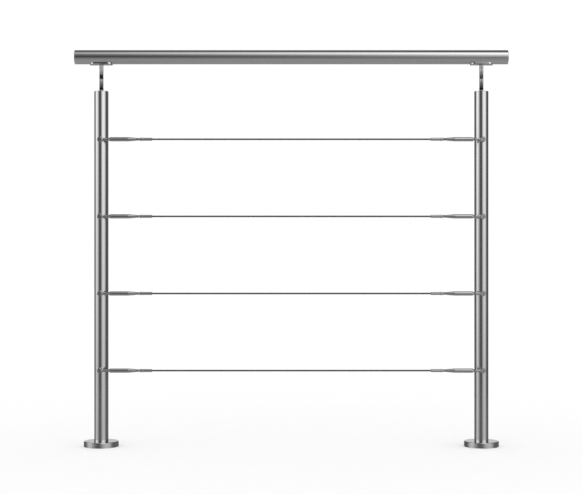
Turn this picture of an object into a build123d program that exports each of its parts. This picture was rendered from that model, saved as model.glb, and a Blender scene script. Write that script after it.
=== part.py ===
from build123d import *
import os
from math import sqrt

# Wire balustrade: two round posts, a round handrail on jointed brackets, and four tensioned wire ropes.
# Millimetres. X runs along the handrail, -Y is the side that the wires are on, +Z is up.
# The origin is on the floor, midway between the two posts.

# Tube of the posts and the handrail
tube_dia = 42.4
tube_wall = 2.0
tube_rad = tube_dia / 2
tube_bore_rad = tube_rad - tube_wall

# Overall layout
post_spacing = 1150.0
post_height = 1073.5  # floor to the top face of the post cap
rail_overhang = 80.0  # post axis to the end face of the handrail
wire_count = 4
top_wire_drop = 147.5  # top face of the post cap to the top wire

# Fits between pieces
plug_fit = 0.1  # radial, a cap's plug in its tube
screw_fit = 0.2  # radial, a screw's shank in a plain hole
thread_fit = 0.05  # radial, a thread in its tapped hole
sleeve_fit = 0.2  # radial, the base cover on the post

# End caps of the handrail and caps of the posts
cap_head = 4.0
cap_edge = 1.0
plug_length = 14.0
plug_wall = 2.0

# Boss on the post cap, black washer and threaded stem above it
boss_dia = 12.0
boss_height = 4.8
washer_dia = 12.6
washer_thick = 5.0
stud_dia = 8.0
stud_depth = 7.0  # engaged below the washer

# Jointed stem of the handrail bracket
stem_dia = 12.0
lower_stem_length = 33.7  # washer to the pivot
upper_stem_length = 35.1  # pivot to the saddle
pivot_end_gap = 0.8  # round end of one half to the shoulder of the other
pivot_flat = 1.6  # depth of the flats milled beside the pivot
pivot_screw_dia = 5.0

# Saddle under the handrail
saddle_length = 68.0
saddle_width = 28.0
saddle_thick = 3.5
saddle_screw_pitch = 46.0
rail_screw_dia = 5.0
rail_screw_length = 12.0
stem_screw_dia = 6.0
stem_screw_length = 18.0

# Countersunk screws: head diameter and height as multiples of the shank's diameter
csk_head_ratio = 1.84
csk_height_ratio = 0.55
csk_rim = 0.3
socket_ratio = 0.6
socket_depth_ratio = 0.4

# Base plate and its cover
base_plate_dia = 98.0
base_plate_thick = 6.0
post_socket_depth = 3.0
weld_leg = 4.0
anchor_hole_dia = 11.0
anchor_pcd = 76.0
anchor_count = 4
cover_gap = 2.0  # around the base plate
cover_wall = 1.5
cover_headroom = 8.5  # for anchor heads, above the base plate
cover_edge = 2.5

# Wire fixing on the post
spacer_dia = 16.0
spacer_stand_off = 8.5  # front of the post to the eye
eye_dia = 17.0
eye_thick = 9.0
eye_screw_dia = 8.0
eye_screw_head_dia = 14.0
eye_screw_head_height = 3.6
eye_screw_head_edge = 0.8
eye_screw_socket = 5.0
eye_screw_socket_depth = 2.6
insert_dia = 11.0
insert_bulge_dia = 15.0
insert_bulge_thick = 2.5
insert_length = 16.0

# Wire tensioner, lengths measured along the wire from the post axis
shank_dia = 8.0
neck_blend = 2.0
body_start = 28.0
body_mouth_dia = 10.0
body_lead = 4.0
body_dia = 12.6
body_taper_start = 85.0
body_end = 108.0
body_end_dia = 9.0
turning_hole_dia = 4.0
shank_engaged = 18.0
stud_engaged = 24.0
collar_start = 120.0
collar_dia = 9.4
collar_length = 9.0
swage_dia = 8.8
swage_end = 157.0
swage_edge = 0.7
rope_dia = 5.0
rope_fit = 0.05
rope_engaged = 25.0

# Places worked out from the sizes above
post_x = post_spacing / 2
rail_half = post_x + rail_overhang
washer_z = post_height + boss_height
stem_z = washer_z + washer_thick
pivot_z = stem_z + lower_stem_length
saddle_z = pivot_z + upper_stem_length
rail_z = saddle_z + saddle_thick + tube_rad
wire_pitch = (post_height - top_wire_drop) / wire_count  # floor to the lowest wire, and between wires
eye_y = -(tube_rad + spacer_stand_off + eye_thick / 2)
cover_height = base_plate_thick + cover_headroom + cover_wall
cover_rad = base_plate_dia / 2 + cover_gap + cover_wall
stem_rad = stem_dia / 2

match = 0.01  # closeness at which two lengths count as equal

UP = (Align.CENTER, Align.CENTER, Align.MIN)
DOWN = (Align.CENTER, Align.CENTER, Align.MAX)


def turned_z(*points):
    """A solid turned about Z from (radius, height) points."""
    return revolve(Plane.XZ * Polygon(*points, align=None), Axis.Z)


def turned_x(*points):
    """A solid turned about X from (distance, radius) points."""
    return revolve(Polygon(*points, align=None), Axis.X)


def tube(length, bore_rad=tube_bore_rad):
    return Cylinder(tube_rad, length, align=UP) - Cylinder(bore_rad, length, align=UP)


def outer_edges(solid, radius, height):
    """Round edges of a solid turned about Z, at one radius and height."""
    rings = solid.edges().filter_by(GeomType.CIRCLE)
    same_size = [e for e in rings if abs(e.radius - radius) < match]
    return [e for e in same_size if abs(e.arc_center.Z - height) < match]


def plug_cap():
    """A flat tube cap with its head above Z = 0 and a hollow plug below."""
    plug_rad = tube_bore_rad - plug_fit
    cap = turned_z(
        (0, cap_head), (tube_rad, cap_head), (tube_rad, 0), (plug_rad, 0), (plug_rad, -plug_length),
        (plug_rad - plug_wall, -plug_length), (plug_rad - plug_wall, 0), (0, 0),
    )
    return fillet(outer_edges(cap, tube_rad, cap_head), cap_edge)


def countersunk_screw(dia, length):
    """Head face at Z = 0, shank down to Z = -length."""
    head_rad = dia * csk_head_ratio / 2
    head_height = dia * csk_height_ratio
    screw = turned_z(
        (0, 0), (head_rad, 0), (head_rad, -csk_rim), (dia / 2, -head_height),
        (dia / 2, -length), (0, -length),
    )
    socket = extrude(RegularPolygon(dia * socket_ratio / 2, 6, major_radius=False), -dia * socket_depth_ratio)
    return screw - socket


def countersunk_hole(dia, depth):
    """What a countersunk screw needs cut away, from just above its head face down to Z = -depth."""
    head_rad = dia * csk_head_ratio / 2 + screw_fit
    cone_height = dia * csk_height_ratio
    hole_rad = dia / 2 + screw_fit
    return turned_z(
        (0, tube_wall), (head_rad, tube_wall), (head_rad, -csk_rim), (hole_rad, -cone_height - screw_fit),
        (hole_rad, -depth), (0, -depth),
    )


def flush_depth(dia):
    """How far a screw head's rim lies above the lowest line of the saddle's underside."""
    under_rad = tube_rad + saddle_thick
    return under_rad - sqrt(under_rad ** 2 - (dia * csk_head_ratio / 2) ** 2)


def rail_screw_offsets():
    return (-saddle_screw_pitch / 2, saddle_screw_pitch / 2)


def rail_screw_places():
    """Places of the saddle's screws, beside the saddle's own centre."""
    height = saddle_z + flush_depth(rail_screw_dia)
    return [Pos(offset, 0, height) * Rot(180, 0, 0) for offset in rail_screw_offsets()]


def handrail_tube():
    length = 2 * (rail_half - cap_head)
    rail = Pos(-length / 2, 0, rail_z) * Rot(0, 90, 0) * tube(length)
    hole = Cylinder(rail_screw_dia / 2 + screw_fit, 2 * tube_rad, align=DOWN)
    for side in (-1, 1):
        for offset in rail_screw_offsets():
            rail -= Pos(side * post_x + offset, 0, rail_z) * hole
    return rail


def rail_saddle():
    """A strip with round ends, curved to sit under the handrail."""
    outline = Pos(0, 0, saddle_z) * extrude(SlotOverall(saddle_length, saddle_width), tube_rad)
    shell = Cylinder(tube_rad + saddle_thick, saddle_length) - Cylinder(tube_rad, saddle_length)
    saddle = outline & (Pos(0, 0, rail_z) * Rot(0, 90, 0) * shell)
    for place in rail_screw_places():
        saddle -= place * countersunk_hole(rail_screw_dia, rail_screw_length)
    saddle -= Pos(0, 0, rail_z - tube_rad) * countersunk_hole(stem_screw_dia, stem_screw_length)
    return saddle


def half_lap(front):
    """The stretch beside the pivot that one half of the stem keeps: a half round with a round end."""
    upright = Box(stem_dia, stem_rad - pivot_flat, 4 * stem_dia, align=(Align.CENTER, Align.MIN, Align.MIN))
    round_end = Rot(-90, 0, 0) * Cylinder(stem_rad, stem_rad - pivot_flat, align=UP)
    turn = Rot(0, 0, 180) if front else Rot(180, 0, 180)
    return Pos(0, 0, pivot_z) * turn * (upright + round_end)


def upper_stem():
    """The half under the saddle, with its lap in front of the pivot."""
    shoulder_z = pivot_z + stem_rad + pivot_end_gap
    top = Pos(0, 0, shoulder_z) * Cylinder(stem_rad, rail_z - shoulder_z, align=UP)
    top -= Pos(0, 0, rail_z) * Rot(0, 90, 0) * Cylinder(tube_rad + saddle_thick, 2 * stem_dia)
    lap_core = Pos(0, 0, pivot_z - stem_rad) * Cylinder(stem_rad, 2 * stem_rad + pivot_end_gap, align=UP)
    stem = top + (lap_core & half_lap(front=True))
    stem -= pivot_place() * countersunk_hole(pivot_screw_dia, stem_dia)
    tapped = Cylinder(stem_screw_dia / 2 + thread_fit, stem_screw_length, align=DOWN)
    return stem - Pos(0, 0, rail_z - tube_rad) * tapped


def lower_stem():
    """The half on the post cap, with its lap behind the pivot and a threaded stud below."""
    shoulder_z = pivot_z - stem_rad - pivot_end_gap
    stem = Pos(0, 0, stem_z) * Cylinder(stem_rad, shoulder_z - stem_z, align=UP)
    lap_core = Pos(0, 0, shoulder_z) * Cylinder(stem_rad, pivot_z + stem_rad - shoulder_z, align=UP)
    stem += lap_core & half_lap(front=False)
    stem += Pos(0, 0, stem_z) * Cylinder(stud_dia / 2, washer_thick + stud_depth, align=DOWN)
    return stem - pivot_place() * Cylinder(pivot_screw_dia / 2 + thread_fit, 2 * stem_dia, align=DOWN)


def pivot_place():
    """Head face of the pivot screw, on the front flat of the joint, looking to the front."""
    return Pos(0, -(stem_rad - pivot_flat), pivot_z) * Rot(90, 0, 0)


def stem_washer():
    ring = Cylinder(washer_dia / 2, washer_thick, align=UP)
    ring -= Cylinder(stud_dia / 2 + screw_fit, washer_thick, align=UP)
    return Pos(0, 0, washer_z) * ring


def post_cap():
    cap = plug_cap() + Pos(0, 0, cap_head) * Cylinder(boss_dia / 2, boss_height, align=UP)
    cap -= Cylinder(stud_dia / 2 + thread_fit, cap_head + boss_height, align=UP)
    return Pos(0, 0, post_height - cap_head) * cap


def post_tube():
    foot_z = base_plate_thick - post_socket_depth
    post = Pos(0, 0, foot_z) * tube(post_height - cap_head - foot_z)
    hole = Rot(90, 0, 0) * Cylinder(insert_dia / 2, 2 * tube_rad, align=UP)
    for level in wire_levels():
        post -= Pos(0, 0, level) * hole
    return post


def base_plate():
    """A round plate with a socket for the post, a weld bead round it and the anchor holes."""
    socket_rad = tube_rad + plug_fit
    plate = turned_z(
        (0, 0), (base_plate_dia / 2, 0), (base_plate_dia / 2, base_plate_thick),
        (socket_rad + weld_leg, base_plate_thick), (socket_rad, base_plate_thick + weld_leg),
        (socket_rad, base_plate_thick - post_socket_depth), (0, base_plate_thick - post_socket_depth),
    )
    hole = Cylinder(anchor_hole_dia / 2, base_plate_thick, align=UP)
    for place in PolarLocations(anchor_pcd / 2, anchor_count, start_angle=180 / anchor_count):
        plate -= place * hole
    return plate


def base_cover():
    """A pressed cover round the foot of the post, open below."""
    bore_rad = tube_rad + sleeve_fit
    inner_rad = cover_rad - cover_wall
    cover = turned_z(
        (bore_rad, cover_height), (cover_rad, cover_height), (cover_rad, 0), (inner_rad, 0),
        (inner_rad, cover_height - cover_wall), (bore_rad, cover_height - cover_wall),
    )
    cover = fillet(outer_edges(cover, cover_rad, cover_height), cover_edge)
    return fillet(outer_edges(cover, inner_rad, cover_height - cover_wall), cover_edge - cover_wall)


def post_spacer():
    """A turned spacer, hollowed at the back to fit the post."""
    length = tube_rad + spacer_stand_off
    spacer = Cylinder(spacer_dia / 2, length, align=UP)
    spacer -= Cylinder(eye_screw_dia / 2 + screw_fit, length, align=UP)
    return Rot(90, 0, 0) * spacer - Cylinder(tube_rad, 2 * spacer_dia)


def rivet_insert():
    """A threaded insert set in the post's wall, its bulge against the inside of the tube."""
    facing = Pos(0, -tube_rad, 0) * Rot(90, 0, 0)
    body = facing * Cylinder(insert_dia / 2, insert_length, align=DOWN)
    bulge = Pos(0, 0, -tube_wall) * Cylinder(insert_bulge_dia / 2, insert_bulge_thick, align=DOWN)
    insert = body & Cylinder(tube_rad, 2 * insert_dia)
    insert += (facing * bulge) & Cylinder(tube_bore_rad, 2 * insert_bulge_dia)
    bore = Cylinder(eye_screw_dia / 2 + thread_fit, insert_length + tube_wall, align=DOWN)
    return insert - facing * bore


def eye_screw():
    """A flat-faced socket screw through the eye and the spacer into the insert."""
    head_rad = eye_screw_head_dia / 2
    rise = eye_screw_head_height
    head = Cylinder(head_rad, rise, align=UP)
    head = fillet(outer_edges(head, head_rad, rise), eye_screw_head_edge)
    socket = Pos(0, 0, rise) * extrude(
        RegularPolygon(eye_screw_socket / 2, 6, major_radius=False), -eye_screw_socket_depth
    )
    length = eye_thick + spacer_stand_off + insert_length
    screw = head + Cylinder(eye_screw_dia / 2, length, align=DOWN) - socket
    return Pos(0, eye_y - eye_thick / 2, 0) * Rot(90, 0, 0) * screw


def eye_end():
    """A ball on a threaded shank along X, with flats that make the ball an eye."""
    reach = body_start + shank_engaged
    shank = turned_x((0, 0), (reach, 0), (reach, shank_dia / 2), (0, shank_dia / 2))
    eye = Sphere(eye_dia / 2) + shank
    neck = [e for e in eye.edges().filter_by(GeomType.CIRCLE) if 0 < e.arc_center.X < eye_dia / 2]
    eye = fillet(neck, neck_blend)
    eye &= Box(2 * reach, eye_thick, eye_dia)
    return eye - Rot(90, 0, 0) * Cylinder(eye_screw_dia / 2 + screw_fit, eye_thick)


def tensioner_body():
    """A hollow barrel, tapered towards the wire, that draws both threads in."""
    bore_rad = shank_dia / 2 + thread_fit
    body = turned_x(
        (body_start, bore_rad), (body_start, body_mouth_dia / 2), (body_start + body_lead, body_dia / 2),
        (body_taper_start, body_dia / 2), (body_end, body_end_dia / 2), (body_end, bore_rad),
    )
    middle = (body_start + body_lead + body_taper_start) / 2
    return body - Pos(middle, 0, 0) * Cylinder(turning_hole_dia / 2, 2 * body_dia)


def swage_stud():
    """A threaded stud with a collar and a sleeve pressed on the wire rope."""
    start = body_end - stud_engaged
    collar_end = collar_start + collar_length
    bore_rad = rope_dia / 2 + rope_fit
    bore_start = swage_end - rope_engaged
    swage_rad = swage_dia / 2
    return turned_x(
        (start, 0), (start, shank_dia / 2), (collar_start, shank_dia / 2), (collar_start, collar_dia / 2),
        (collar_end, collar_dia / 2), (collar_end, swage_rad), (swage_end - swage_edge, swage_rad),
        (swage_end, swage_rad - swage_edge), (swage_end, bore_rad), (bore_start, bore_rad), (bore_start, 0),
    )


def wire_rope():
    half = post_x - (swage_end - rope_engaged)
    return Rot(0, 90, 0) * Cylinder(rope_dia / 2, 2 * half)


def wire_levels():
    return [wire_pitch * (i + 1) for i in range(wire_count)]


def write(name, *solids):
    """One STEP file a node; several like pieces go into one file as separate solids."""
    shape = solids[0] if len(solids) == 1 else Compound(children=list(solids))
    export_step(shape, f"parts/{name}.step")


def write_posts():
    """Everything that stands at each post, below and above the wires."""
    for side_name, side in (("left", -1), ("right", 1)):
        at_post = Pos(side * post_x, 0, 0)
        write(f"{side_name}_base_plate", at_post * base_plate())
        write(f"{side_name}_base_cover", at_post * base_cover())
        write(f"{side_name}_post_tube", at_post * post_tube())
        write(f"{side_name}_post_cap", at_post * post_cap())
        write(f"{side_name}_lower_stem", at_post * lower_stem())
        write(f"{side_name}_upper_stem", at_post * upper_stem())
        write(f"{side_name}_rail_saddle", at_post * rail_saddle())
        end_place = Pos(side * (rail_half - cap_head), 0, rail_z) * Rot(0, side * 90, 0)
        write(f"{side_name}_rail_end_cap", end_place * plug_cap())


def write_bracket_fasteners():
    posts = [Pos(side * post_x, 0, 0) for side in (-1, 1)]
    write("stem_washers", *[p * stem_washer() for p in posts])
    pivot_screw = countersunk_screw(pivot_screw_dia, stem_dia - 2 * pivot_flat)
    write("pivot_screws", *[p * pivot_place() * pivot_screw for p in posts])
    stem_screw = countersunk_screw(stem_screw_dia, stem_screw_length)
    write("stem_screws", *[p * Pos(0, 0, rail_z - tube_rad) * stem_screw for p in posts])
    rail_screw = countersunk_screw(rail_screw_dia, rail_screw_length)
    write("rail_screws", *[p * place * rail_screw for p in posts for place in rail_screw_places()])


def write_wires():
    """The four ropes, and at each end of each rope its spacer, eye, tensioner and swaged stud."""
    inserts = []
    screws = []
    for number, level in enumerate(wire_levels(), start=1):
        write(f"wire_rope_{number}", Pos(0, eye_y, level) * wire_rope())
        for side_name, side in (("left", -1), ("right", 1)):
            at_post = Pos(side * post_x, 0, level)
            on_wire = Pos(side * post_x, eye_y, level) * Rot(0, 0, 0 if side < 0 else 180)
            write(f"{side_name}_post_spacer_{number}", at_post * post_spacer())
            write(f"{side_name}_eye_end_{number}", on_wire * eye_end())
            write(f"{side_name}_tensioner_body_{number}", on_wire * tensioner_body())
            write(f"{side_name}_swage_stud_{number}", on_wire * swage_stud())
            inserts.append(at_post * rivet_insert())
            screws.append(at_post * eye_screw())
    write("rivet_inserts", *inserts)
    write("eye_screws", *screws)


os.makedirs("parts", exist_ok=True)
write("handrail_tube", handrail_tube())
write_posts()
write_bracket_fasteners()
write_wires()
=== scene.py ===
from math import pi, radians

import bpy
import numpy as np
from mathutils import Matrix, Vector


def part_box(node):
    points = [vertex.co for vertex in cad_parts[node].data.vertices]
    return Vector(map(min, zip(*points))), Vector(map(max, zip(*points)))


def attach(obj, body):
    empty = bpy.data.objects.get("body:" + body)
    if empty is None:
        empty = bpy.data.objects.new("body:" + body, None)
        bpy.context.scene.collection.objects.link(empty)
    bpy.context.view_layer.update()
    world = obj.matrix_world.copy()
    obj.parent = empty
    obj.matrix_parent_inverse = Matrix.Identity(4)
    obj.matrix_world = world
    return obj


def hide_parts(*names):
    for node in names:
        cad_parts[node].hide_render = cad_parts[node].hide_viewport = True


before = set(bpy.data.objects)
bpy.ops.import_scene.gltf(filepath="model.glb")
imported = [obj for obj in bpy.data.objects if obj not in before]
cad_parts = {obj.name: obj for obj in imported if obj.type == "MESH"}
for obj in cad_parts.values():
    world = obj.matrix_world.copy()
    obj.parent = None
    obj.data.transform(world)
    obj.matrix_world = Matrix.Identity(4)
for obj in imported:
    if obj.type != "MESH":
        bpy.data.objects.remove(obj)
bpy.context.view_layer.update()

# A wire balustrade: posts, handrail and brackets come from the frame with satin steel on them.
# The wire ropes, their swaged studs and the eyes at the posts are made here, in metres.


def middle(node):
    """The middle of a frame node's box."""
    low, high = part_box(node)
    return [(a + b) / 2 for a, b in zip(low, high)]


# Sizes

SIDES = {"left": -1, "right": 1}
WIRES = range(1, 5)
POST_X = middle("right_post_tube")[0]

EYE_RAD = 0.0085
EYE_HALF = 0.0045
EYE_HOLE_RAD = 0.0042
EYE_BEVEL = 0.0003
NECK_RAD = 0.004
NECK_FLARE = 0.0024
THREAD_PITCH = 0.00125
THREAD_DEPTH = 0.0006

# Along the wire, from the post's axis
NECK_START = 0.0050
NECK_STRAIGHT = 0.0098
EYE_THREAD_START = 0.022
EYE_THREAD_END = 0.033
STUD_START = 0.084
STUD_THREAD_START = 0.102
COLLAR_START = 0.120
COLLAR_END = 0.129
ROPE_START = 0.132
SLEEVE_END = 0.157

COLLAR_RAD = 0.0047
SLEEVE_RAD = 0.0044
SLEEVE_EDGE = 0.0007
FACE_STEP = 0.0002  # how far a face that stands across the wire leans, so that its distances rise
ROPE_RAD = 0.0025
OUTER_WIRES = 12
LAY_LENGTH = 0.046

BOSS_HEIGHT = 0.0048
CAP_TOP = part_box("left_post_cap")[1][2] - BOSS_HEIGHT
WASHER_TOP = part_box("stem_washers")[1][2]
PIVOT_HEIGHT = middle("pivot_screws")[2]

FLOOR_LEVEL = -0.0002
FLOOR_RAD = 2.6
FLOOR_INNER_RAD = 0.02

CAMERA_PLACE = (0.0004, -4.1667, 0.6026)
CAMERA_LENS = 85
SENSOR_WIDTH = 36

# How finely the surfaces are divided

SHARP_ANGLE = radians(38)
THREAD_STEP = THREAD_PITCH / 10
CORNER_RING = 0.0002  # from a corner to the ring beside it, which keeps a long face's shading level
LONG_FACE = 10 * CORNER_RING
NECK_RINGS = 7
WIRE_CORNERS = [-96, -62, -30, 0, 30, 62]  # degrees round each outer wire
ROPE_STEPS = 220
FLOOR_ROWS = 24
FLOOR_COLUMNS = 96


# Shader maths

class Value:
    """A node's output in an expression: each operator adds one Math node."""

    def __init__(self, graph, socket):
        self.graph = graph
        self.socket = socket

    def math(self, operation, *others):
        values = dict(enumerate((self, *others)))
        return self.graph.node("ShaderNodeMath", {"operation": operation}, values)

    def __add__(self, other):
        return self.math("ADD", other)

    def __sub__(self, other):
        return self.math("SUBTRACT", other)

    def __mul__(self, other):
        return self.math("MULTIPLY", other)

    def __truediv__(self, other):
        return self.math("DIVIDE", other)

    def __rsub__(self, other):
        return -self + other

    def __neg__(self):
        return self.math("MULTIPLY", -1)

    def __pow__(self, other):
        return self.math("POWER", other)

    __radd__ = __add__
    __rmul__ = __mul__


class Graph:
    """A node tree, to which one method adds nodes."""

    def __init__(self, tree):
        self.tree = tree
        tree.nodes.clear()

    def node(self, kind, settings, inputs, output=0):
        """A node with its settings first, then the numbers or links of its sockets."""
        made = self.tree.nodes.new(kind)
        for name, setting in settings.items():
            if name == "stops":
                self.set_stops(made.color_ramp, setting)
            else:
                setattr(made, name, setting)
        for name, given in inputs.items():
            if isinstance(given, Value):
                self.tree.links.new(given.socket, made.inputs[name])
            else:
                made.inputs[name].default_value = given
        return Value(self, made.outputs[output]) if made.outputs else None

    def set_stops(self, ramp, stops):
        ramp.interpolation = "EASE"
        while len(ramp.elements) < len(stops):
            ramp.elements.new(1.0)
        for element, (place, grey) in zip(ramp.elements, stops):
            element.position = place
            element.color = (grey, grey, grey, 1)

    def ramp(self, value, stops):
        return self.node("ShaderNodeValToRGB", {"stops": stops}, {"Fac": value})

    def parts(self, vector):
        """The X, Y and Z of a vector."""
        split = self.node("ShaderNodeSeparateXYZ", {}, {0: vector})
        return [Value(self, out) for out in split.socket.node.outputs]

    def vector(self, x, y, z):
        return self.node("ShaderNodeCombineXYZ", {}, {0: x, 1: y, 2: z})

    def grey(self, value):
        return self.node("ShaderNodeCombineColor", {}, {0: value, 1: value, 2: value})

    def noise(self, vector, scale, detail):
        return self.node("ShaderNodeTexNoise", {}, {
            "Vector": vector, "Scale": scale, "Detail": detail, "Roughness": NOISE_ROUGHNESS})

    def bump(self, height, strength, distance):
        return self.node("ShaderNodeBump", {}, {
            "Height": height, "Strength": strength, "Distance": distance})

    def soft_step(self, value, start, end, low=0.0, high=1.0):
        """A level that goes smoothly from low to high while the value goes from start to end."""
        return self.node("ShaderNodeMapRange", {"interpolation_type": "SMOOTHSTEP"}, {
            "Value": value, "From Min": start, "From Max": end, "To Min": low, "To Max": high})

    def seen_by_steel(self):
        """1 for mirror rays, less the share of the white background that steel shows everywhere."""
        return self.node("ShaderNodeLightPath", {}, {}, "Is Glossy Ray") * (1 - WHITE_SHARE)


def layered(shares, *patterns, over=0.0):
    """A sum: over + the first share + each pattern times a share of its own."""
    total = over + shares[0]
    for share, pattern in zip(shares[1:], patterns):
        total = total + pattern * share
    return total


# Finishes

RAIL_STEEL = 0.62
POST_STEEL = 0.59
PALE_STEEL = 0.64
DULL_STEEL = 0.505
COVER_STEEL = 0.58
ROPE_STEEL = 0.24
# near black: the washer's colour also stands for the painted shade of the gap under each stem
WASHER_BLACK_AS_GAP_SHADE = 0.006

# Scales of the noise, in waves to a metre
FINE_LINES = 2600.0
BROAD_LINES = 420.0
ROUND_LINES = 9.0  # along a grinding line, which hardly changes
RING_LINES = 1900.0
HAND_MARKS = 9.0
COVER_MARKS = 22.0
STEM_MARKS = 160.0
GROOVE_SPECKS = 700.0
WASHER_GRAIN = 1500.0

LINE_DETAIL = 2.0
SPECK_DETAIL = 3.0
MARK_DETAIL = 4.0
NOISE_ROUGHNESS = 0.6
FINE_SHARE = 0.6  # of the grinding lines that are fine

LINE_BUMP = 0.05
SOFT_LINE_BUMP = 0.04
RING_BUMP = 0.06
SPECK_BUMP = 0.05
WASHER_BUMP = 0.15
LINE_DEPTH = 0.0002
SPECK_DEPTH = 0.0001

# What layered() sums: a first level, then the share of the grain, and that of the marks
SATIN_TONE = (0.955, 0.05, 0.03)
SATIN_ROUGHNESS = (-0.035, 0.04, 0.04)
SPUN_TONE = (0.95, 0.06, 0.03)
SPUN_ROUGHNESS = (-0.03, 0.05, 0.04)
STEM_TONE = (0.94, 0.05, 0.08)
STEM_ROUGHNESS = (0.0, 0.10, 0.04)  # the second follows where shade is painted into the colour
GROOVED_TONE = (0.94, 0.1)
GROOVED_ROUGHNESS = (0.0, 0.22, 0.05)  # the second is for how hollow the surface is
WASHER_TONE = (0.8, 0.4)
WASHER_ROUGHNESS = (0.62, 0.2)
WASHER_SHINE = 0.08

# Painted shade by height, as the share of the steel's colour that is left: it is darkest beside
# the washer and at the pivot, where shade falls between the parts
PAINTED_SHADE_BY_HEIGHT = [
    (CAP_TOP + 0.0005, 1.0), (CAP_TOP + 0.0013, 0.42), (WASHER_TOP, 0.10),
    (WASHER_TOP + 0.0075, 0.22), (WASHER_TOP + 0.0136, 0.39), (WASHER_TOP + 0.0196, 0.60),
    (WASHER_TOP + 0.0257, 0.90), (PIVOT_HEIGHT - 0.0022, 0.22), (PIVOT_HEIGHT + 0.0018, 0.24),
    (PIVOT_HEIGHT + 0.0078, 0.50), (PIVOT_HEIGHT + 0.0138, 0.60), (PIVOT_HEIGHT + 0.0200, 0.92),
]


def new_material(name):
    material = bpy.data.materials.new(name)
    material.use_nodes = True
    return material, Graph(material.node_tree)


def object_place(graph):
    return graph.node("ShaderNodeTexCoord", {}, {}, "Object")


def finish_steel(graph, grey, roughness, normal):
    """The shader and output that every steel finish ends with."""
    shader = graph.node("ShaderNodeBsdfPrincipled", {}, {
        "Base Color": graph.grey(grey), "Metallic": 1.0, "Roughness": roughness, "Normal": normal})
    graph.node("ShaderNodeOutputMaterial", {}, {"Surface": shader})


def around_grain(graph, place, axis, fineness):
    """Grinding lines round a tube: noise that changes fast along the axis and slowly round it."""
    stretch = [ROUND_LINES] * 3
    stretch["XYZ".index(axis)] = fineness
    stretched = graph.node("ShaderNodeMapping", {}, {"Vector": place, "Scale": stretch})
    return graph.noise(stretched, 1.0, LINE_DETAIL)


def satin_steel(name, axis, steel, roughness, lines=LINE_BUMP):
    """Satin steel ground round one axis, with faint cloudy marks of handling."""
    material, graph = new_material(name)
    place = object_place(graph)
    fine = around_grain(graph, place, axis, FINE_LINES)
    broad = around_grain(graph, place, axis, BROAD_LINES)
    marks = graph.noise(place, HAND_MARKS, MARK_DETAIL)
    grain = fine * FINE_SHARE + broad * (1 - FINE_SHARE)
    tone = layered(SATIN_TONE, grain, marks)
    rough = layered(SATIN_ROUGHNESS, grain, marks, over=roughness)
    finish_steel(graph, tone * steel, rough, graph.bump(grain, lines, LINE_DEPTH))
    return material


def jointed_steel(name, steel, roughness):
    """Turned steel of the rail's stems and the post's cap, with painted shade by height."""
    material, graph = new_material(name)
    place = object_place(graph)
    grain = around_grain(graph, place, "Z", FINE_LINES)
    marks = graph.noise(place, STEM_MARKS, MARK_DETAIL)
    height = graph.parts(place)[2]
    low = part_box("left_lower_stem")[0][2]
    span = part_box("left_upper_stem")[1][2] - low
    # painted shade: the colour darkens beside the washer, on the cap's boss below it, and at the
    # pivot
    painted_shade = graph.ramp((height - low) / span, [((z - low) / span, left) for z, left in PAINTED_SHADE_BY_HEIGHT])
    tone = painted_shade * layered(STEM_TONE, grain, marks)
    rough = layered(STEM_ROUGHNESS, 1.0 - painted_shade, grain, over=roughness)
    finish_steel(graph, tone * steel, rough, graph.bump(grain, SOFT_LINE_BUMP, LINE_DEPTH))
    return material


def spun_steel(name, steel, roughness):
    """Steel ground in rings round each post, as a pressed cover or a turned plate is."""
    material, graph = new_material(name)
    place = object_place(graph)
    x, y, z = graph.parts(place)
    off_axis = x.math("ABSOLUTE") - POST_X
    radius = (off_axis * off_axis + y * y) ** 0.5
    rings = graph.noise(graph.vector(radius * RING_LINES, z * RING_LINES, 0.0), 1.0, LINE_DETAIL)
    marks = graph.noise(place, COVER_MARKS, MARK_DETAIL)
    tone = layered(SPUN_TONE, rings, marks)
    rough = layered(SPUN_ROUGHNESS, rings, marks, over=roughness)
    finish_steel(graph, tone * steel, rough, graph.bump(rings, RING_BUMP, LINE_DEPTH))
    return material


def grooved_steel(name, steel, roughness, dirt_and_shade):
    """Steel darkened in its grooves by its own hollow attribute, as dirt and as painted shade."""
    material, graph = new_material(name)
    hollow = graph.node("ShaderNodeAttribute", {"attribute_name": "hollow"}, {}, "Fac")
    specks = graph.noise(object_place(graph), GROOVE_SPECKS, SPECK_DETAIL)
    # painted shade with dirt: the colour darkens with the depth of the threads and of the rope's
    # valleys
    tone = (1.0 - hollow * dirt_and_shade) * layered(GROOVED_TONE, specks)
    rough = layered(GROOVED_ROUGHNESS, hollow, specks, over=roughness)
    finish_steel(graph, tone * steel, rough, graph.bump(specks, SPECK_BUMP, SPECK_DEPTH))
    return material


def washer_black_painted_shade():
    """Dull black, a little uneven: a washer whose near black colour is painted shade of the gap
    under the stem.
    """
    material, graph = new_material("black_washer")
    grain = graph.noise(object_place(graph), WASHER_GRAIN, SPECK_DETAIL)
    shader = graph.node("ShaderNodeBsdfPrincipled", {}, {
        "Base Color": graph.grey(layered(WASHER_TONE, grain) * WASHER_BLACK_AS_GAP_SHADE),
        "Roughness": layered(WASHER_ROUGHNESS, grain),
        "Specular IOR Level": WASHER_SHINE,
        "Normal": graph.bump(grain, WASHER_BUMP, SPECK_DEPTH)})
    graph.node("ShaderNodeOutputMaterial", {}, {"Surface": shader})
    return material


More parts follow.
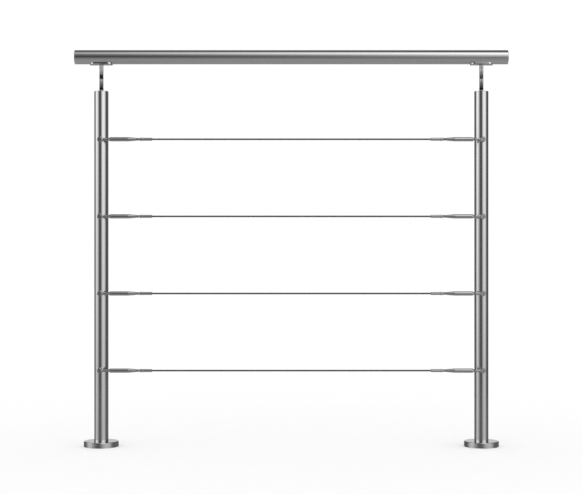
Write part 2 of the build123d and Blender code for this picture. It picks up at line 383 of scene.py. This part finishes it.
def dress_frame():
    """Puts a finish on every node of the frame."""
    rail = satin_steel("satin_rail", "X", RAIL_STEEL, roughness=0.14)
    post = satin_steel("satin_post", "Z", POST_STEEL, roughness=0.14)
    upright = satin_steel("turned_upright", "Z", PALE_STEEL, roughness=0.22, lines=SOFT_LINE_BUMP)
    along = satin_steel("turned_along", "X", DULL_STEEL, roughness=0.15)
    forward = satin_steel("turned_forward", "Y", DULL_STEEL, roughness=0.26)
    face = satin_steel("turned_face", "Y", PALE_STEEL, roughness=0.20, lines=SOFT_LINE_BUMP)
    stem = jointed_steel("jointed_stem", DULL_STEEL, roughness=0.20)
    cap = jointed_steel("jointed_cap", POST_STEEL, roughness=0.14)
    cover = spun_steel("spun_cover", COVER_STEEL, roughness=0.14)
    plate = spun_steel("turned_plate", DULL_STEEL, roughness=0.32)
    washer = washer_black_painted_shade()
    finishes = {
        "handrail_tube": rail, "rail_end_cap": rail, "post_tube": post, "post_cap": cap,
        "base_cover": cover, "base_plate": plate, "lower_stem": stem, "upper_stem": stem,
        "rail_saddle": rail, "stem_washers": washer, "pivot_screws": stem, "stem_screws": upright,
        "rail_screws": upright, "post_spacer": forward, "tensioner_body": along, "eye_end": along,
        "swage_stud": along, "wire_rope": along, "rivet_inserts": forward, "eye_screws": face,
    }
    for name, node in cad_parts.items():
        kind = next(key for key in finishes if key in name)
        node.data.materials.clear()
        node.data.materials.append(finishes[kind])


# Surfaces

def angles_round(columns):
    """Angles at equal steps round a turn, as one row of a grid."""
    return np.linspace(0, 2 * pi, columns, endpoint=False)[None, :]


def grid_faces(rows, columns):
    """Quads of a grid whose columns close on themselves."""
    row, column = np.meshgrid(np.arange(rows - 1), np.arange(columns), indexing="ij")
    after = (column + 1) % columns
    quads = np.stack([row * columns + column, row * columns + after,
                      (row + 1) * columns + after, (row + 1) * columns + column], axis=-1)
    return quads.reshape(-1, 4).tolist()


def rod_faces(rows, columns):
    """Quads of a closed grid, and a face over each of its ends."""
    last = (rows - 1) * columns
    ends = [list(range(columns))[::-1], list(range(last, last + columns))]
    return grid_faces(rows, columns) + ends


def new_object(name, points, faces, material):
    """An object at the origin, with its place in its mesh."""
    mesh = bpy.data.meshes.new(name)
    mesh.from_pydata(points.tolist(), [], faces)
    mesh.update()
    mesh.materials.append(material)
    made = bpy.data.objects.new(name, mesh)
    bpy.context.scene.collection.objects.link(made)
    return made


def new_piece(name, points, faces, hollow, material, replaced):
    """A smooth piece in place of a frame node, with the depth of its grooves as an attribute."""
    piece = new_object(name, points, faces, material)
    mesh = piece.data
    depths = mesh.attributes.new("hollow", "FLOAT", "POINT").data
    depths.foreach_set("value", hollow.astype(np.float32))
    mesh.polygons.foreach_set("use_smooth", np.ones(len(mesh.polygons), dtype=bool))
    mesh.set_sharp_from_angle(angle=SHARP_ANGLE)
    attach(piece, "root")
    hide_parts(replaced)
    return piece


def turned(along, radius, angles):
    """A turned surface on the X axis: x = along, y = radius cos angle, z = radius sin angle."""
    shape = np.broadcast_shapes(np.shape(along), np.shape(radius), np.shape(angles))
    x = np.broadcast_to(along, shape)
    return np.stack([x, radius * np.cos(angles), radius * np.sin(angles)], axis=-1)


def thread_depth(along, angles, start, end):
    """A thread's groove: a triangle wave of distance / pitch - angle / turn, faded at its ends."""
    phase = along / THREAD_PITCH - angles / (2 * pi)
    wave = np.abs(2 * (phase - np.floor(phase)) - 1)
    rise = np.clip((along - start) / THREAD_PITCH, 0, 1)
    fall = np.clip((end - along) / THREAD_PITCH, 0, 1)
    return THREAD_DEPTH * wave * (rise * fall)


def rod(profile, thread, columns=48):
    """A closed rod on the X axis: its radius follows (distance, radius) points, less a thread's
    depth between two distances."""
    start, end = thread
    steps = [np.array([profile[0][0]])]
    for (a, _), (b, _) in zip(profile[:-1], profile[1:]):
        if a < end and b > start:
            steps.append(np.linspace(a, b, int(np.ceil((b - a) / THREAD_STEP)) + 1)[1:])
        elif b - a > LONG_FACE:
            steps.append(np.array([a + CORNER_RING, b - CORNER_RING, b]))
        else:
            steps.append(np.array([b]))
    along = np.concatenate(steps)
    distances, radii = np.array(profile).T
    radius = np.interp(along, distances, radii)[:, None]
    grid = along[:, None]
    angles = angles_round(columns)
    depth = thread_depth(grid, angles, start, end)
    points = turned(grid, radius - depth, angles).reshape(-1, 3)
    return points, rod_faces(len(along), columns), (depth / THREAD_DEPTH).reshape(-1)


def ball_with_flats(rows=20, columns=64):
    """A ring on the Y axis with a hole through it. Outside, y = radius sin tilt and
    r = radius cos tilt, as on a sphere, up to a flat on each side."""
    edge = np.sqrt(EYE_RAD ** 2 - EYE_HALF ** 2)
    tilt = np.arcsin((EYE_HALF - EYE_BEVEL) / EYE_RAD)
    arc = np.linspace(tilt, -tilt, rows)
    flat = [EYE_HOLE_RAD, edge - EYE_BEVEL]
    y = np.concatenate([[EYE_HALF, EYE_HALF], EYE_RAD * np.sin(arc), [-EYE_HALF, -EYE_HALF]])
    radius = np.concatenate([flat, EYE_RAD * np.cos(arc), flat[::-1]])
    on_x = turned(y[:, None], radius[:, None], angles_round(columns))
    points = on_x[..., [1, 0, 2]].reshape(-1, 3)
    last = (len(y) - 1) * columns
    inner = [[last + i, last + (i + 1) % columns, (i + 1) % columns, i] for i in range(columns)]
    return points, grid_faces(len(y), columns) + inner


def placed(points, side_name, wire):
    """Points along +X from the post, set on the wire at one end of it."""
    side = SIDES[side_name]
    _, y, z = middle(f"wire_rope_{wire}")
    return points * np.array([-side, -side, 1.0]) + np.array([side * POST_X, y, z])


def threaded_eye(side_name, wire, material):
    """A ball with flats on a flared neck, threaded where it enters the tensioner. The flare falls
    as the cube of the way that is left to the neck's straight part."""
    neck = [(NECK_START + (NECK_STRAIGHT - NECK_START) * t, NECK_RAD + NECK_FLARE * (1 - t) ** 3)
            for t in np.linspace(0, 1, NECK_RINGS)]
    neck += [(EYE_THREAD_START, NECK_RAD), (EYE_THREAD_END, NECK_RAD)]
    points, faces, hollow = rod(neck, (EYE_THREAD_START, EYE_THREAD_END))
    ball, ball_faces = ball_with_flats()
    faces += [[i + len(points) for i in face] for face in ball_faces]
    hollow = np.concatenate([hollow, np.zeros(len(ball))])
    points = placed(np.concatenate([points, ball]), side_name, wire)
    new_piece(f"{side_name}_threaded_eye_{wire}", points, faces, hollow, material,
              f"{side_name}_eye_end_{wire}")


def threaded_stud(side_name, wire, material):
    """A thread, a collar, and a sleeve pressed on the wire rope, as one turned profile."""
    thread_end = COLLAR_START - THREAD_PITCH
    profile = [
        (STUD_START, NECK_RAD), (STUD_THREAD_START, NECK_RAD), (thread_end, NECK_RAD),
        (COLLAR_START, NECK_RAD - THREAD_DEPTH),
        (COLLAR_START + FACE_STEP, COLLAR_RAD - SLEEVE_EDGE / 2),
        (COLLAR_START + SLEEVE_EDGE, COLLAR_RAD), (COLLAR_END - SLEEVE_EDGE, COLLAR_RAD),
        (COLLAR_END, SLEEVE_RAD), (SLEEVE_END - SLEEVE_EDGE, SLEEVE_RAD),
        (SLEEVE_END, SLEEVE_RAD - SLEEVE_EDGE), (SLEEVE_END + FACE_STEP, ROPE_RAD),
    ]
    points, faces, hollow = rod(profile, (STUD_THREAD_START, thread_end))
    new_piece(f"{side_name}_threaded_stud_{wire}", placed(points, side_name, wire), faces, hollow,
              material, f"{side_name}_swage_stud_{wire}")


def rope_line(name, ends):
    """Points of the smooth curve that the rope follows, read from its spline."""
    curve = bpy.data.curves.new(name, "CURVE")
    curve.dimensions = "3D"
    spline = curve.splines.new("NURBS")
    spline.points.add(len(ends) - 1)
    for point, place in zip(spline.points, ends):
        point.co = (*place, 1)
    spline.order_u = 3
    spline.use_endpoint_u = True
    spline.resolution_u = ROPE_STEPS
    holder = bpy.data.objects.new(name, curve)
    mesh = bpy.data.meshes.new_from_object(holder)
    line = np.empty(3 * len(mesh.vertices))
    mesh.vertices.foreach_get("co", line)
    bpy.data.objects.remove(holder)
    bpy.data.curves.remove(curve)
    bpy.data.meshes.remove(mesh)
    return line.reshape(-1, 3)


def strand_outline():
    """Angle and radius round a strand: each wire is an arc on a circle of wire middles."""
    half_turn = pi / OUTER_WIRES
    wire_rad = ROPE_RAD * np.sin(half_turn) / (1 + np.sin(half_turn))
    ring_rad = ROPE_RAD - wire_rad
    arc = np.radians(WIRE_CORNERS)
    across = wire_rad * np.sin(arc)
    out = ring_rad + wire_rad * np.cos(arc)
    turns = 2 * half_turn * np.arange(OUTER_WIRES)
    angles = np.arctan2(across, out)[None, :] + turns[:, None]
    radii = np.broadcast_to(np.hypot(across, out), angles.shape)
    return angles.reshape(-1), radii.reshape(-1)


def laid_rope(wire, material):
    """A rope of laid wires: its outline turns once in each lay length as it follows the line."""
    _, y, z = middle(f"wire_rope_{wire}")
    half = POST_X - ROPE_START
    ends = [(x, y, z) for x in (-half, -half / 3, half / 3, half)]
    line = rope_line(f"rope_line_{wire}", ends)
    outline, radii = strand_outline()
    distance = np.linalg.norm(line - line[0], axis=1)[:, None]
    angles = outline[None, :] + 2 * pi * distance / LAY_LENGTH
    across = turned(0.0, radii, angles)
    points = (line[:, None, :] + across).reshape(-1, 3)
    # how deep each point lies between the wires; the laid_wire finish darkens it as dirt and
    # painted shade
    hollow = np.tile((ROPE_RAD - radii) / (ROPE_RAD - radii.min()), len(line))
    rope = new_piece(f"laid_rope_{wire}", points, rod_faces(len(line), len(outline)), hollow,
                     material, f"wire_rope_{wire}")
    2 * half


def make_wires():
    fitting = grooved_steel("threaded_steel", DULL_STEEL, roughness=0.15, dirt_and_shade=0.28)
    strands = grooved_steel("laid_wire", ROPE_STEEL, roughness=0.24, dirt_and_shade=0.72)
    for wire in WIRES:
        laid_rope(wire, strands)
        for side_name in SIDES:
            threaded_eye(side_name, wire, fitting)
            threaded_stud(side_name, wire, fitting)


# Studio

# What polished steel shows of the studio, by the direction that it looks in. Azimuth is in degrees
# from the camera's side (-Y), positive to the right. 1 is the white of the background.
ROUND_THE_STUDIO = [
    (-180, 0.05), (-132, 0.02), (-113, 0.05), (-98, 0.95), (-78, 1.66), (-62, 1.50),
    (-54, 0.92), (-45, 0.68), (-38, 0.40), (-28, 0.10), (-20, 0.0), (-8, 0.01), (0, 0.12),
    (8, 0.38), (18, 0.97), (38, 1.42), (60, 1.40), (71, 0.92), (80, 0.32), (92, 0.05),
    (110, 0.02), (128, 0.18), (142, 0.06), (180, 0.05),
]
SIDE_LEVEL = 1.7  # the ramp holds shares of this

# By height, as the sine of the elevation: how strongly the side lights show, and the plain level
# that is added to them
SIDE_BY_HEIGHT = [
    (-0.6, 0.0), (-0.30, 0.12), (-0.136, 0.44), (0.0, 0.72), (0.115, 1.0), (0.40, 0.95),
    (0.62, 0.0),
]
PLAIN_BY_HEIGHT = [
    (-1.0, 0.34), (-0.79, 0.31), (-0.57, 0.28), (-0.31, 0.20), (-0.136, 0.05), (0.0, 0.025),
    (0.115, 0.005), (0.22, 0.04), (0.36, 0.065), (0.55, 0.02), (1.0, 0.01),
]
BACK_LEVEL = 0.7
BACK_FROM = 0.955
BACK_TO = 0.975
TOP_LEVEL = 1.85
TOP_LEAN = radians(12.5)
TOP_SPREAD = radians(20)
TOP_HEIGHT = radians(61)
TOP_DEPTH = radians(25)
TOP_TILT = 0.7  # how fast the top light comes down towards the right
WHITE_SHARE = 0.05  # of the white background that steel shows everywhere

FLOOR_WHITE = 0.99
FLOOR_CLEAR = 0.25  # of the white behind, seen through the floor, which keeps its shadow faint
FADE_FROM = 0.75
FADE_TO = 2.0


def studio_seen_by_steel(graph):
    """Side lights and dark gaps by azimuth, dimmed by height, a plain level by height, a top light
    that falls as exp(-way * way) from its middle, and a backdrop."""
    direction = graph.node("ShaderNodeTexCoord", {}, {}, "Generated")
    x, y, z = graph.parts(direction)
    turn = x.math("ARCTAN2", -y) / (2 * pi) + 0.5
    sides = graph.ramp(turn, [((a + 180) / 360, v / SIDE_LEVEL) for a, v in ROUND_THE_STUDIO])
    height = z * 0.5 + 0.5
    share, plain = (graph.ramp(height, [((s + 1) / 2, v) for s, v in stops])
                    for stops in (SIDE_BY_HEIGHT, PLAIN_BY_HEIGHT))
    to_right = x.math("ARCSINE")
    across = (to_right - TOP_LEAN) / TOP_SPREAD
    over = (z.math("ARCTAN2", -y) + to_right * TOP_TILT - TOP_HEIGHT) / TOP_DEPTH
    top = (-(across * across) - over * over).math("EXPONENT") * TOP_LEVEL
    back = graph.soft_step(y, BACK_FROM, BACK_TO, high=BACK_LEVEL)
    return sides * share * SIDE_LEVEL + plain + top + back


def light_world():
    """A white dome of strength 1 lights everything and is the background. Steel shows the studio
    instead, with a share of the white."""
    world = bpy.data.worlds.new("studio")
    world.use_nodes = True
    bpy.context.scene.world = world
    graph = Graph(world.node_tree)
    white = graph.node("ShaderNodeBackground", {}, {"Color": (1, 1, 1, 1), "Strength": 1.0})
    studio = graph.node("ShaderNodeBackground", {}, {
        "Color": graph.grey(studio_seen_by_steel(graph)), "Strength": 1.0})
    mixed = graph.node("ShaderNodeMixShader", {}, {
        "Fac": graph.seen_by_steel(), 1: white, 2: studio})
    graph.node("ShaderNodeOutputWorld", {}, {"Surface": mixed})
    world.cycles.sampling_method = "NONE"


def lay_floor():
    """A pale floor that takes the soft shadow and fades into the white background. Its rings of
    points are x = r cos angle, y = r sin angle, all at one level."""
    material, graph = new_material("pale_floor")
    x, y, _ = graph.parts(object_place(graph))
    away = (x * x + y * y) ** 0.5
    fade = graph.soft_step(away, FADE_FROM, FADE_TO, low=FLOOR_CLEAR)
    pale = graph.node("ShaderNodeBsdfDiffuse", {}, {"Color": (FLOOR_WHITE,) * 3 + (1,)})
    clear = graph.node("ShaderNodeBsdfTransparent", {}, {})
    faded = graph.node("ShaderNodeMixShader", {}, {
        "Fac": fade.math("MAXIMUM", graph.seen_by_steel()), 1: pale, 2: clear})
    graph.node("ShaderNodeOutputMaterial", {}, {"Surface": faded})

    rings = np.linspace(FLOOR_INNER_RAD, FLOOR_RAD, FLOOR_ROWS)[:, None]
    angles = angles_round(FLOOR_COLUMNS)
    level = np.full((FLOOR_ROWS, FLOOR_COLUMNS), FLOOR_LEVEL)
    points = np.stack([rings * np.cos(angles), rings * np.sin(angles), level], axis=-1)
    faces = grid_faces(FLOOR_ROWS, FLOOR_COLUMNS) + [list(range(FLOOR_COLUMNS))]
    new_object("floor", points.reshape(-1, 3), faces, material)


def set_camera():
    camera = bpy.data.cameras.new("camera")
    camera.lens = CAMERA_LENS
    camera.sensor_width = SENSOR_WIDTH
    holder = bpy.data.objects.new("camera", camera)
    holder.location = CAMERA_PLACE
    holder.rotation_euler = (pi / 2, 0, 0)
    bpy.context.scene.collection.objects.link(holder)
    bpy.context.scene.camera = holder
    bpy.context.scene.view_settings.view_transform = "Standard"


dress_frame()
make_wires()
lay_floor()
light_world()
set_camera()
